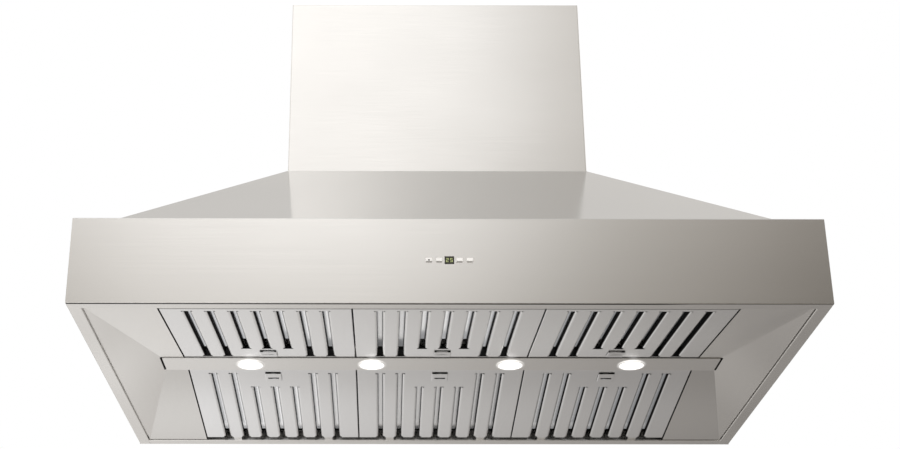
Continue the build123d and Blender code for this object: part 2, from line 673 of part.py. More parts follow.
def light_bar():
    """Hat section whose brims stop the filters, with lamp holes and slots for the latches."""
    half = BAR_WIDTH / 2
    points = (
        (-half - BAR_BRIM, BRIM_Z),
        (-half, BRIM_Z),
        (-half, BAR_RISE),
        (half, BAR_RISE),
        (half, BRIM_Z),
        (half + BAR_BRIM, BRIM_Z),
    )
    section = folded(points, BAR_SHEET, BAR_SHEET + BEND_INSIDE, Side.LEFT)
    bar = extrude(Plane.YZ * Pos(MIDDLE_Y, 0) * section, BAR_LENGTH / 2, both=True)
    for x in LAMP_OFFSETS:
        hole = Pos(x, MIDDLE_Y, BAR_RISE) * Circle(LAMP_LENS_R + LAMP_BEZEL_WALL + LAMP_GAP)
        bar -= extrude(hole, CUT, both=True)
    tongue_z = LINER_FOOT + FILTER_END * math.sin(SLOPE) + (TONGUE_RISE + TONGUE_SHEET / 2) * math.cos(SLOPE)
    half_width = TONGUE_WIDTH / 2 + KEEPER_MARGIN
    half_height = TONGUE_SHEET / 2 + KEEPER_MARGIN
    for x in filter_places():
        keeper = Pos(x, tongue_z) * Rectangle(2 * half_width, 2 * half_height)
        bar -= extrude(Plane.XZ * keeper, DEPTH)
    return bar


def lamp_bezel():
    neck = LAMP_LENS_R + LAMP_BEZEL_WALL
    bezel = ring(neck, LAMP_LENS_R + LAMP_GAP, LAMP_SPIGOT)
    bezel += ring(LAMP_BEZEL_R, LAMP_LENS_R + LAMP_GAP, -LAMP_BEZEL_DROP)
    return chamfer(bezel.edges().group_by(Axis.Z)[0].sort_by(SortBy.LENGTH)[-1], LAMP_BEZEL_DROP / 2)


def lamp_lens():
    """Round diffuser that bulges below the bezel and stands against the lamp's housing."""
    sphere_r = (LAMP_LENS_R ** 2 + LAMP_LENS_DOME ** 2) / (2 * LAMP_LENS_DOME)
    half_turn = math.asin(LAMP_LENS_R / sphere_r) / 2
    middle = (sphere_r * math.sin(half_turn), sphere_r * (1 - math.cos(half_turn)) - LAMP_LENS_DOME)
    dome = ThreePointArc((0, -LAMP_LENS_DOME), middle, (LAMP_LENS_R, 0))
    rest = Polyline((LAMP_LENS_R, 0), (LAMP_LENS_R, LAMP_SPIGOT), (0, LAMP_SPIGOT), (0, -LAMP_LENS_DOME))
    return revolve(Plane.XZ * make_face(dome.edges() + rest.edges()), Axis.Z)


def lamp_can():
    """Square finned housing that stands on the bezel's neck."""
    half = BAR_WIDTH / 2 - BAR_SHEET - LAMP_CAN_GAP
    can = extrude(Rectangle(2 * half, 2 * half), LAMP_CAN_BASE)
    pitch = (2 * half - LAMP_FIN_SHEET) / (LAMP_FIN_COUNT - 1)
    fin = extrude(Rectangle(LAMP_FIN_SHEET, 2 * half), LAMP_CAN_HEIGHT)
    can += [Pos((index - (LAMP_FIN_COUNT - 1) / 2) * pitch, 0, 0) * fin for index in range(LAMP_FIN_COUNT)]
    return Pos(0, 0, LAMP_SPIGOT) * can


def at_lamps(shape):
    """A copy of a lamp's piece at each lamp, from the light bar's face up."""
    return group([Pos(x, MIDDLE_Y, BAR_RISE) * shape for x in LAMP_OFFSETS])


# Filters

def slot_places(distances):
    """Middle of each slot across the filter, and its ends near the rim and near the light bar."""
    rim, bar, latch = distances
    places = []
    for index in range(SLOT_COUNT):
        end = FILTER_END - (latch if index in LATCH_SLOTS else bar)
        places.append(((index - (SLOT_COUNT - 1) / 2) * SLOT_PITCH, TROUGH + rim, end))
    return places


def across_plane(distance):
    """Plane across the slots at a distance up the slope, x across and y away from the cook."""
    return Plane(origin=(0, distance, 0), x_dir=(1, 0, 0), z_dir=(0, -1, 0))


def rolled_edge(length):
    """Turned-in edge on the right of a slot, which runs up the slope."""
    half = SLOT_OPENING / 2
    turn = RadiusArc((half + ROLL_R, 0), (half, ROLL_R), ROLL_R)
    edges = turn.edges() + Line((half, ROLL_R), (half, ROLL_HEIGHT)).edges()
    section = make_face(Wire(edges).offset_2d(FILTER_SHEET, side=Side.RIGHT, closed=True).edges())
    return extrude(across_plane(0) * section, -length)


def latch_stem_ranges(gap, travel):
    """Ranges of the latch's stem on the face, with play and travel for its guide slot."""
    half = STEM_WIDTH / 2 + gap
    near = FILTER_END - STEM_INSET + gap
    return (-half, half), (near - STEM_LENGTH - 2 * gap - travel, near)


def filter_face(distances, lip):
    """Pan of a filter with slots at their distances from its ends, and hooks that hang on the lip."""
    half = FILTER_WIDTH / 2
    wall = FILTER_SHEET
    pan = prism((-half, half), (TROUGH, FILTER_END), (0, PAN_HEIGHT))
    pan = fillet(pan.edges().group_by(Axis.Z)[0], PAN_BEND)
    floor = (half - wall, TROUGH + wall, FILTER_END - wall)
    pan -= prism((-floor[0], floor[0]), floor[1:], (wall, PAN_HEIGHT - wall))
    opening = (TROUGH + PAN_RETURN, FILTER_END - PAN_RETURN)
    pan -= prism((-floor[0], floor[0]), opening, (wall, PAN_HEIGHT))
    for x, start, end in slot_places(distances):
        pan -= prism((x - SLOT_CUT / 2, x + SLOT_CUT / 2), (start, end), (-CUT, DRAIN_HEIGHT))
    pan -= prism(*latch_stem_ranges(STEM_GAP, LATCH_TRAVEL), (-CUT, wall + STEM_GAP))
    port = TONGUE_WIDTH / 2 + STEM_GAP
    levels = (TONGUE_RISE - STEM_GAP, TONGUE_RISE + TONGUE_SHEET + STEM_GAP)
    pan -= prism((-port, port), (FILTER_END - wall - STEM_GAP, FILTER_END + CUT), levels)
    for x, start, end in slot_places(distances):
        roll_start = max(start, TROUGH + wall) + SLOT_RELIEF
        right = rolled_edge(end - SLOT_RELIEF - roll_start)
        pan += [Pos(x, roll_start, 0) * side for side in (right, mirrored(right))]
    return FILTER_PLANE.location * pan + filter_hooks(lip)


def filter_hooks(lip):
    """Two level tongues from the pan's rim-side wall over the rim's lip."""
    low = lip + HINGE_GAP
    above_foot = low - LINER_FOOT - TROUGH * math.sin(SLOPE)
    wall_y = MIDDLE_Y - LINER_LOW[1] + TROUGH * math.cos(SLOPE) - above_foot * math.tan(SLOPE)
    y_range = (RIM_WIDTH - SHEET - HOOK_REACH - DEPTH, wall_y + FILTER_SHEET / 2)
    hooks = []
    for x in (-(SLOT_COUNT - 2) / 2 * SLOT_PITCH, (SLOT_COUNT - 2) / 2 * SLOT_PITCH):
        hooks.append(prism((x - HOOK_WIDTH / 2, x + HOOK_WIDTH / 2), y_range, (low, low + FILTER_SHEET)))
    return hooks


def filter_baffles(distances, rear):
    """Inverted channels tied by a strap, which stop short of the slots' ends away from the cook."""
    half = BAFFLE_WIDTH / 2
    web = PAN_HEIGHT - FILTER_SHEET
    points = ((-half, web - BAFFLE_LEG), (-half, web), (half, web), (half, web - BAFFLE_LEG))
    section = folded(points, FILTER_SHEET, 0, Side.RIGHT)
    inset = FILTER_SHEET + BAFFLE_END_GAP
    reach = FILTER_WIDTH / 2 - inset
    middle = (TROUGH + FILTER_END) / 2
    strap_range = (middle - STRAP_WIDTH / 2, middle + STRAP_WIDTH / 2)
    baffles = prism((-reach, reach), strap_range, (web, PAN_HEIGHT))
    for x, start, end in slot_places(distances):
        first = max(start, TROUGH) + BAFFLE_SETBACK if rear else TROUGH + inset
        last = FILTER_END - inset if rear else end - BAFFLE_SETBACK
        baffles += Pos(x, 0, 0) * extrude(across_plane(first) * section, first - last)
    return FILTER_PLANE.location * baffles


def filter_latch():
    """Bridge-shaped slide with a finger slot, a stem through the face and a tongue behind it."""
    half = LATCH_WIDTH / 2
    end = FILTER_END - LATCH_INSET
    start = end - LATCH_LENGTH
    bottom = -LATCH_RAISE - LATCH_SHEET
    points = ((-half, -LATCH_REST_GAP), (-half, bottom), (half, bottom), (half, -LATCH_REST_GAP))
    section = folded(points, LATCH_SHEET, LATCH_SHEET + BEND_INSIDE, Side.LEFT)
    latch = extrude(across_plane(start) * section, -LATCH_LENGTH)
    finger = start + FINGER_INSET
    finger_range = (finger - FINGER_LENGTH / 2, finger + FINGER_LENGTH / 2)
    latch -= prism((-FINGER_WIDTH / 2, FINGER_WIDTH / 2), finger_range, (bottom - CUT, bottom + LATCH_SHEET))
    stem_x, stem_y = latch_stem_ranges(0, 0)
    tongue_levels = (TONGUE_RISE, TONGUE_RISE + TONGUE_SHEET)
    latch += prism(stem_x, stem_y, (bottom, TONGUE_RISE + TONGUE_SHEET))
    tongue_x = (-TONGUE_WIDTH / 2, TONGUE_WIDTH / 2)
    latch += prism(tongue_x, (stem_y[0], FILTER_END + TONGUE_REACH), tongue_levels)
    return FILTER_PLANE.location * latch


def filter_nodes():
    """Faces, baffles and latches of all filters, front row first."""
    turn = Pos(0, 2 * MIDDLE_Y, 0) * Rot(0, 0, 180)
    latch = filter_latch()
    nodes = {}
    for row, (distances, lip) in enumerate(((FRONT_SLOTS, RIM_LIP), (REAR_SLOTS, REAR_LIP))):
        face = filter_face(distances, lip)
        pieces = {"face": face, "baffles": filter_baffles(distances, row == 1), "latch": latch}
        for column, x in enumerate(filter_places()):
            number = row * FILTERS_PER_ROW + column + 1
            for name, piece in pieces.items():
                nodes[f"filter_{number}_{name}"] = Pos(x, 0, 0) * (turn * piece if row else piece)
    return nodes


# Controls

def button(offset):
    cap = extrude(RectangleRounded(BUTTON_WIDTH, BUTTON_HEIGHT, BUTTON_CORNER), BUTTON_PROUD)
    cap = chamfer(cap.edges().group_by(Axis.Z)[-1], BUTTON_CROWN)
    seat = SHEET + BUTTON_REST_GAP
    neck = extrude(RectangleRounded(BUTTON_WIDTH, BUTTON_HEIGHT, BUTTON_CORNER), -seat)
    width = BUTTON_WIDTH + 2 * BUTTON_FLANGE
    height = BUTTON_HEIGHT + 2 * BUTTON_FLANGE
    flange = Pos(0, 0, -seat) * extrude(Rectangle(width, height), -BUTTON_FLANGE_SHEET)
    stem_end = BOARD_DEPTH - SWITCH_HEIGHT - BUTTON_TRAVEL - BUTTON_REST_GAP
    stem = Pos(0, 0, -seat) * extrude(Circle(BUTTON_STEM_R), seat - stem_end)
    return PANEL_PLANE * Pos(offset, 0, 0) * (cap + neck + flange + stem)


def display_window():
    window = extrude(Rectangle(DISPLAY_WIDTH, DISPLAY_HEIGHT), DISPLAY_PROUD)
    window += extrude(Rectangle(DISPLAY_WIDTH, DISPLAY_HEIGHT), -SHEET)
    width = DISPLAY_WIDTH + 2 * DISPLAY_FLANGE
    height = DISPLAY_HEIGHT + 2 * DISPLAY_FLANGE
    window += Pos(0, 0, -SHEET) * extrude(Rectangle(width, height), -DISPLAY_FLANGE_SHEET)
    return PANEL_PLANE * window


def display_module():
    front = SHEET + DISPLAY_FLANGE_SHEET
    body = Rectangle(DISPLAY_WIDTH + DISPLAY_FLANGE, DISPLAY_HEIGHT + DISPLAY_FLANGE)
    return PANEL_PLANE * Pos(0, 0, -front) * extrude(body, front - BOARD_DEPTH)


def control_board():
    """Circuit board with a switch behind each button."""
    board = Pos(0, 0, -BOARD_DEPTH) * extrude(Rectangle(BOARD_WIDTH, BOARD_HEIGHT), -BOARD_SHEET)
    switch = Pos(0, 0, -BOARD_DEPTH) * extrude(Rectangle(SWITCH_SIZE, SWITCH_SIZE), SWITCH_HEIGHT)
    solids = [board] + [Pos(offset, 0, 0) * switch for offset in BUTTON_OFFSETS]
    return group([PANEL_PLANE * solid for solid in solids])


def control_tray():
    """Folded tray welded to the back of the band, which carries the board."""
    wall = BOARD_WIDTH / 2 + TRAY_MARGIN
    floor = BOARD_DEPTH + BOARD_SHEET + TRAY_SHEET - DEPTH
    seat = SHEET - DEPTH
    points = (
        (-wall - TRAY_FLANGE, seat),
        (-wall, seat),
        (-wall, floor),
        (wall, floor),
        (wall, seat),
        (wall + TRAY_FLANGE, seat),
    )
    section = folded(points, TRAY_SHEET, TRAY_SHEET + BEND_INSIDE, Side.LEFT)
    bottom = CONTROL_RISE - BOARD_HEIGHT / 2
    return extrude(Pos(0, 0, bottom) * section, BOARD_HEIGHT)


def build():
    """All nodes by name."""
    front_slope, left_slope, right_slope = slope_panels()
    front_flap, rear_flap = damper_flaps()
    left_panel = left_end_panel()
    left_liner = liner()
    left_side = blower_side()
    nodes = {
        "front_band": front_band(),
        "left_end_panel": left_panel,
        "right_end_panel": mirrored(left_panel),
        "back_panel": back_panel(),
        "rear_rim": rear_rim(),
        "front_slope_panel": front_slope,
        "left_slope_panel": left_slope,
        "right_slope_panel": right_slope,
        "top_plate": top_plate(),
        "duct_cover": duct_cover(),
        "duct_cover_bracket": duct_cover_bracket(),
        "duct_cover_screws": duct_cover_screws(),
        "duct_collar": duct_collar(),
        "damper_rod": damper_rod(),
        "damper_flap_front": front_flap,
        "damper_flap_rear": rear_flap,
        "blower_scroll": blower_scroll(),
        "blower_left_side": left_side,
        "blower_right_side": mirrored(left_side),
        "blower_wheel": blower_wheel(),
        "blower_bolts": blower_bolts(),
        "motor": motor(),
        "motor_shaft": motor_shaft(),
        "motor_bracket": motor_bracket(),
        "junction_box": junction_box(),
        "junction_box_lid": junction_box_lid(),
        "cable_gland": cable_gland(),
        "liner_left": left_liner,
        "liner_right": mirrored(left_liner),
        "light_bar": light_bar(),
        "lamp_bezels": at_lamps(lamp_bezel()),
        "lamp_lenses": at_lamps(lamp_lens()),
        "lamp_cans": at_lamps(lamp_can()),
        "display_window": display_window(),
        "display_module": display_module(),
        "control_board": control_board(),
        "control_tray": control_tray(),
    }
    for name, offset in zip(BUTTON_NAMES, BUTTON_OFFSETS):
        nodes[name] = button(offset)
    nodes.update(filter_nodes())
    return nodes


os.makedirs("parts", exist_ok=True)
for node, shape in build().items():
    export_step(shape, f"parts/{node}.step")
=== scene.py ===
"""Looks of the wall-mounted barbecue range hood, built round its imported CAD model."""

import math

import bpy
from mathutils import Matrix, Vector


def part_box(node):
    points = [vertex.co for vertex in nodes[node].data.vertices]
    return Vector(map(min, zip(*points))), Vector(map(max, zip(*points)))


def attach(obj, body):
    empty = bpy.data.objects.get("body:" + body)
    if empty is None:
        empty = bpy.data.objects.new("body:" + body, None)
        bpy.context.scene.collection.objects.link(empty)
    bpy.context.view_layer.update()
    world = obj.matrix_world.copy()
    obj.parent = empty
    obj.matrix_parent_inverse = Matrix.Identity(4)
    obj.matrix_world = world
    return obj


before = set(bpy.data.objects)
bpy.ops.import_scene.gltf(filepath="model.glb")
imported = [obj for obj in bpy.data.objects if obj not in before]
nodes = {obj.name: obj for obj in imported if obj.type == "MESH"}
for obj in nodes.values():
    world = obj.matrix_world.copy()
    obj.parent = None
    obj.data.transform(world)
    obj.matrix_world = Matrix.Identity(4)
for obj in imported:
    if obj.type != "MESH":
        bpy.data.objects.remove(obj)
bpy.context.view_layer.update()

# Camera, from a fit of the canopy's corners
CAMERA_PLACE = (-0.103491, -3.08318, -0.867127)
CAMERA_PITCH = 23.019        # degrees up
CAMERA_YAW = 0.226           # degrees to the right
CAMERA_LENS = 61.335         # mm
CAMERA_SENSOR = 36           # mm across
CAMERA_SHIFT = (0.06623, 0.02538)

# Studio, as the metal reflects it: brightness by azimuth from the front, left negative
ROUND_GLOW = (
    (-180, 0.63), (-110, 0.66), (-60, 0.62), (-30, 0.54), (-18, 0.53), (-12, 0.70), (-8, 0.89), (-4, 0.90),
    (1, 0.79), (4.6, 0.62), (9.3, 0.40), (14, 0.335), (20, 0.21), (32, 0.26), (60, 0.46), (110, 0.60),
    (180, 0.63),
)
# Share of that brightness by elevation
RISE_GLOW = (
    (-90, 0.10), (-60, 0.13), (-40, 0.25), (-28, 0.95), (-15, 1.25), (-6, 1.10), (0, 0.80), (6, 0.45),
    (12, 0.32), (18, 0.54), (21, 0.82), (22.5, 1.03), (24.2, 1.29), (26.2, 1.95), (30, 1.69), (35, 1.42),
    (90, 1.26),
)
GLOW_SKEW = 0.2              # degrees that the glow moves right for each degree up
SKEW_LEVEL = 22.5            # elevation where it stays in place
GLOW_LIMIT = 1.45
# Brightness overhead, by azimuth
TOP_GLOW = (
    (-180, 0.60), (-60, 0.61), (-20, 1.00), (-6, 1.00), (-3, 0.88), (0, 0.58), (2.5, 0.43), (7, 0.40),
    (12, 0.43), (25, 0.52), (60, 0.58), (180, 0.60),
)
TOP_SPAN = (34.0, 50.0)      # elevations between which the overhead part takes over
STUDIO_TINT = ((1.0, 0.895, 0.76, 1), (1.0, 0.985, 0.965, 1))    # dim and bright parts
WHITE = (1, 1, 1, 1)
MIX_COLOURS = (6, 7)         # a mix node's sockets for two colours, and for the colour between them
MIX_RESULT = 2

# Reflector under the hood, brighter on the left
CARD_TINT = ((1.0, 0.93, 0.86, 1), (1.0, 0.99, 0.975, 1))        # dim and bright parts
CARD_HEIGHT = -0.35
CARD_X = (-3.0, 3.0)
CARD_Y = (-0.76, 4.5)
# Brightness by place across, in the near part and in the far part
CARD_GLOW = (
    (-1.5, 0.68), (-0.6, 0.71), (-0.3, 0.60), (0.0, 0.49), (0.3, 0.38), (0.6, 0.31), (1.0, 0.27),
    (1.5, 0.23),
)
CARD_FAR_GLOW = (
    (-1.5, 0.82), (-0.86, 0.78), (-0.4, 0.71), (0.17, 0.565), (0.37, 0.52), (0.93, 0.405), (1.15, 0.29),
    (1.5, 0.22),
)
CARD_FAR = (1.25, 1.6)       # distances behind the wall between which the far part takes over
# Share of the near part's brightness by distance behind the wall
CARD_NEAR_SHARE = (
    (-0.76, 1.0), (0.2, 1.0), (0.28, 0.82), (0.33, 0.82), (0.43, 1.15), (0.655, 1.14), (0.69, 0.92),
    (4.5, 0.92),
)
FLOOR_HEIGHT = -7.0
FLOOR_SIZE = 60.0
FLOOR_COLOUR = (0.85, 0.85, 0.84)

# Brushed steel
STEEL_COLOUR = (0.89, 0.88, 0.865)
FILTER_COLOUR = (0.905, 0.912, 0.928)
ALONG_X = (1.0, 0.0, 0.0)
ALONG_Y = (0.0, 1.0, 0.0)
UPRIGHT = (0.0, 0.0, 1.0)
LEVEL = (1.0, 1.0, 0.0)      # any level direction, on upright sheets
STREAK_SCALE = (2.0, 420.0)  # along the grain and across it
SCRATCH_SCALE = (12.0, 2600.0)
CLOUD_SCALE = 3.0
STREAK_NOISE = (0.3, 0.7)    # the part of the noise that the streaks use
SCRATCH_DULLING = 0.12       # how much rougher scratches and clouds make the steel
CLOUD_DULLING = 0.06
MEAN_DULLING = 0.09          # what both add on average
SCRATCH_DEPTH = 0.0002

# Moulded, cast and painted finishes
MOTTLE_SCALE = 14.0
MOTTLE = (0.9, 1.1)
SKIN_DULLING = 0.08
SKIN_RELIEF = 0.05
LEAST_ROUGHNESS = 0.02
SKIN_DEPTH = 0.0003
LAMP_COLOUR = (1.0, 0.98, 0.95)

# Shade in corners and gaps. A slope is one part of a face's unit normal.
SHADE_COLOUR = (0.008, 0.008, 0.007)
SHADE_DEPTH = 0.97           # how dark the shaded places are
# Slope of a slot's rolled side where its shade starts, by place across the hood
FRONT_ROLL_SHADE = ((-0.5, 0.50), (-0.3, 0.72), (-0.1, 0.97), (0.05, 0.97), (0.2, 0.80), (0.5, 0.56))
REAR_ROLL_SHADE = ((-0.5, 0.86), (-0.3, 0.92), (-0.1, 0.98), (0.1, 0.88), (0.5, 0.55))
ROLL_SHADE_SPAN = 0.2
SLOTTED_SHARE = 0.88         # of a filter's width
END_WALL_TURN = -0.2         # slope times place, below which a filter's end wall looks inward
LEG_SLOPE = 0.5
BACK_SLOPE = 0.5
BEND_RISE = 0.0011           # top of the shaded part of the band's bend
BEND_SLOPE = 0.10
BEND_SHADE = ((-0.61, 1.0), (0.32, 1.0), (0.40, 0.0), (0.61, 0.0))
GAP_END = 0.5122             # end of the shaded gap round the light bar
GAP_SIDE = 0.0350            # half the width of that gap
CHEEK_SLOPE = 0.05
CHEEK_SHADE = 0.13           # share of the full shade on the rear cheeks

# Light on the webs behind the slots, by place across the hood
FRONT_WEB_GLOW = (
    (-0.5, 0.58), (-0.3, 0.48), (-0.2, 0.28), (-0.12, 0.13), (-0.04, 0.30), (0.04, 0.38), (0.3, 0.25),
    (0.5, 0.20),
)
REAR_WEB_GLOW = ((-0.5, 0.42), (-0.3, 0.34), (-0.12, 0.07), (0.04, 0.07), (0.25, 0.24), (0.5, 0.20))
# Distance from a slot's middle where the light on its web has half faded, by place across the hood
WEB_EDGE = ((-0.5, 0.0066), (-0.12, 0.0040), (0.02, 0.0040), (0.37, 0.0067), (0.5, 0.0072))
WEB_FADE = 0.0012            # half the width of that fade
WEB_SLOPE = 0.5
STRAP_LENGTH = 0.3072        # of the strap that ties a filter's baffles
SLOT_PITCH = 0.0372
FRONT_FILTERS = range(1, 4)
REAR_FILTERS = range(4, 7)

# Light round the lamps and on the buttons
LAMP_X = (0.127, 0.350)
LAMP_Y = -0.4064
HALO_GLOW = 0.75
HALO_REACH = (0.021, 0.036)
HALO_SQUEEZE = 1.25          # how much narrower the halo is across the hood
CAP_GLOW = 0.42
CAP_SLOPE = 0.7

# Signs on the control panel
SIGN_PROUD = 0.0001
DIGIT_SIZE = (0.0040, 0.0066)
DIGIT_STROKE = 0.0008
DIGIT_SPREAD = 0.0033        # digit's middle from the window's middle
DIGIT_COLOUR = (0.50, 0.55, 0.24)
# Segments of a digit as (left, low, right, high) in halves of its size
SEGMENTS = {
    "a": (-1, 1, 1, 1), "b": (1, 0, 1, 1), "c": (1, -1, 1, 0), "d": (-1, -1, 1, -1),
    "e": (-1, -1, -1, 0), "f": (-1, 0, -1, 1), "g": (-1, 0, 1, 0),
}
DIGITS = ("abged", "afgcd")
DOT_RADIUS = 0.0014
DOT_RISE = -0.0008           # dot's middle above the button's middle
DOT_CORNERS = 24


class Nodes:
    """Short calls for building a node tree from nothing."""

    def __init__(self, tree):
        tree.nodes.clear()
        self.tree = tree

    def add(self, kind, **inputs):
        node = self.tree.nodes.new(kind)
        for key, value in inputs.items():
            self.put(node, key, value)
        return node

    def put(self, node, key, value):
        socket = node.inputs[key]
        if isinstance(value, bpy.types.NodeSocket):
            self.tree.links.new(value, socket)
        else:
            socket.default_value = value

    def coordinate(self, kind):
        return self.add("ShaderNodeTexCoord").outputs[kind]

    def split(self, vector):
        """Outputs X, Y and Z of a vector."""
        return self.add("ShaderNodeSeparateXYZ", Vector=vector).outputs

    def share(self):
        """Place in the box of what is painted, as shares of its size from its middle."""
        return self.split(self.vector("SUBTRACT", self.coordinate("Generated"), (0.5, 0.5, 0.5)))

    def math(self, operation, *values):
        return self.calculate("ShaderNodeMath", operation, values)

    def vector(self, operation, *values):
        return self.calculate("ShaderNodeVectorMath", operation, values)

    def calculate(self, kind, operation, values):
        node = self.tree.nodes.new(kind)
        node.operation = operation
        for index, value in enumerate(values):
            self.put(node, index, value)
        return node.outputs[0]

    def scale(self, vector, factor):
        scaled = self.vector("SCALE", vector)
        self.put(scaled.node, "Scale", factor)
        return scaled

    def remap(self, value, start, end, first=0.0, last=1.0, smooth=False):
        """Goes from first to last while the value goes from start to end."""
        node = self.add("ShaderNodeMapRange", Value=value)
        if smooth:
            node.interpolation_type = "SMOOTHSTEP"
        self.put(node, "From Min", start)
        self.put(node, "From Max", end)
        self.put(node, "To Min", first)
        self.put(node, "To Max", last)
        return node.outputs[0]

    def ramp(self, factor, stops):
        """Brightness that follows (place, brightness) stops."""
        low, high = stops[0][0], stops[-1][0]
        top = max(level for _, level in stops)
        node = self.tree.nodes.new("ShaderNodeFloatCurve")
        curve = node.mapping.curves[0]
        points = [((place - low) / (high - low), level / top) for place, level in stops]
        curve.points[0].location = points[0]
        curve.points[1].location = points[-1]
        for point in points[1:-1]:
            curve.points.new(*point)
        node.mapping.update()
        self.put(node, "Value", self.remap(factor, low, high))
        return self.math("MULTIPLY", node.outputs[0], top)

    def between(self, share, first, second):
        """Number between two, by a share."""
        return self.add("ShaderNodeMix", Factor=share, A=first, B=second).outputs[0]

    def tinted(self, level, tints):
        """Colour of a brightness: warm where it is dim."""
        mix = self.add("ShaderNodeMix", Factor=level)
        mix.data_type = "RGBA"
        for socket, tint in zip(MIX_COLOURS, tints):
            self.put(mix, socket, tint)
        return mix.outputs[MIX_RESULT]

    def blend(self, share, first, second):
        """Shader between two, by a share."""
        mix = self.add("ShaderNodeMixShader", Fac=share)
        self.put(mix, 1, first.outputs[0])
        self.put(mix, 2, second.outputs[0])
        return mix

    def white_if_seen(self, shader, white):
        """The white one where the camera sees it, straight or through glass, and the other elsewhere."""
        path = self.add("ShaderNodeLightPath").outputs
        seen = self.math("MAXIMUM", path["Is Camera Ray"], path["Is Transmission Ray"])
        return self.blend(seen, shader, white)


def place_camera():
    data = bpy.data.cameras.new("camera")
    data.lens = CAMERA_LENS
    data.sensor_width = CAMERA_SENSOR
    data.shift_x, data.shift_y = CAMERA_SHIFT
    camera = bpy.data.objects.new("camera", data)
    bpy.context.collection.objects.link(camera)
    camera.location = CAMERA_PLACE
    pitch, yaw = math.radians(CAMERA_PITCH), math.radians(CAMERA_YAW)
    camera.rotation_euler = (math.pi / 2 + pitch, 0, -yaw)
    bpy.context.scene.camera = camera


def light_studio():
    """White behind the object, and a soft studio for everything that isn't seen straight."""
    world = bpy.data.worlds.new("studio")
    bpy.context.scene.world = world
    world.use_nodes = True
    n = Nodes(world.node_tree)
    direction = n.split(n.coordinate("Generated"))
    azimuth = n.math("DEGREES", n.math("ARCTAN2", direction["X"], n.math("MULTIPLY", direction["Y"], -1.0)))
    height = n.math("DEGREES", n.math("ARCSINE", direction["Z"]))
    lean = n.math("MULTIPLY", n.math("SUBTRACT", height, SKEW_LEVEL), GLOW_SKEW)
    glow = n.ramp(n.math("SUBTRACT", azimuth, lean), ROUND_GLOW)
    rise = n.ramp(height, RISE_GLOW)
    front = n.math("MINIMUM", n.math("MULTIPLY", glow, rise), GLOW_LIMIT)
    over = n.remap(height, *TOP_SPAN, smooth=True)
    level = n.between(over, front, n.ramp(azimuth, TOP_GLOW))
    colour = n.tinted(n.math("MAXIMUM", level, over), STUDIO_TINT)
    studio = n.add("ShaderNodeBackground", Color=colour, Strength=level)
    white = n.add("ShaderNodeBackground", Color=WHITE, Strength=1.0)
    n.add("ShaderNodeOutputWorld", Surface=n.white_if_seen(studio, white).outputs[0])


def new_material(name):
    """Material with an empty node tree."""
    material = bpy.data.materials.new(name)
    material.use_nodes = True
    return material, Nodes(material.node_tree)


def new_object(name, corners, faces, material):
    mesh = bpy.data.meshes.new(name)
    mesh.from_pydata(corners, [], faces)
    mesh.materials.append(material)
    made = bpy.data.objects.new(name, mesh)
    bpy.context.collection.objects.link(made)
    return made


def level_plane(name, x_range, y_range, height):
    """Horizontal stage plane, with the node tree of its empty material."""
    (x0, x1), (y0, y1) = x_range, y_range
    corners = [(x0, y0, height), (x1, y0, height), (x1, y1, height), (x0, y1, height)]
    material, n = new_material(name)
    plane = new_object(name, corners, [(0, 1, 2, 3)], material)
    return plane, n


def hang_card():
    """Reflector that only the metal above it sees."""
    card, n = level_plane("card", CARD_X, CARD_Y, CARD_HEIGHT)
    place = n.split(n.coordinate("Object"))
    near = n.math("MULTIPLY", n.ramp(place["X"], CARD_GLOW), n.ramp(place["Y"], CARD_NEAR_SHARE))
    away = n.remap(place["Y"], *CARD_FAR, smooth=True)
    level = n.between(away, near, n.ramp(place["X"], CARD_FAR_GLOW))
    light = n.add("ShaderNodeEmission", Color=n.tinted(level, CARD_TINT), Strength=level)
    n.add("ShaderNodeOutputMaterial", Surface=light.outputs[0])
    card.visible_camera = False
    card.visible_diffuse = False
    card.visible_transmission = False
    card.visible_shadow = False


def lay_floor():
    """Pale floor far below, so that views from underneath stay clear of it."""
    span = (-FLOOR_SIZE / 2, FLOOR_SIZE / 2)
    floor, n = level_plane("floor", span, span, FLOOR_HEIGHT)
    pale = n.add("ShaderNodeBsdfDiffuse", Color=(*FLOOR_COLOUR, 1))
    white = n.add("ShaderNodeEmission", Color=WHITE, Strength=1.0)
    n.add("ShaderNodeOutputMaterial", Surface=n.white_if_seen(pale, white).outputs[0])
    floor.visible_glossy = False


def inner_shade(n, starts):
    """Shade inside a filter's pan: steep sides of the slots and inner faces of the end walls."""
    normal = n.split(n.coordinate("Normal"))
    place = n.split(n.coordinate("Object"))
    share = n.share()
    start = n.ramp(place["X"], starts)
    end = n.math("MINIMUM", n.math("ADD", start, ROLL_SHADE_SPAN), 1.0)
    steep = n.remap(n.math("ABSOLUTE", normal["X"]), start, end)
    among_slots = n.math("LESS_THAN", n.math("ABSOLUTE", share["X"]), SLOTTED_SHARE / 2)
    inward = n.math("LESS_THAN", n.math("MULTIPLY", normal["Y"], share["Y"]), END_WALL_TURN)
    return n.math("MAXIMUM", n.math("MULTIPLY", steep, among_slots), inward)


def leg_shade(n):
    """Shade on the upright legs of the baffles."""
    normal = n.split(n.coordinate("Normal"))
    return n.math("GREATER_THAN", n.math("ABSOLUTE", normal["X"]), LEG_SLOPE)


def back_shade(n):
    """Shade on faces that look up, such as the inside of a latch."""
    normal = n.split(n.coordinate("Normal"))
    return n.math("GREATER_THAN", normal["Z"], BACK_SLOPE)


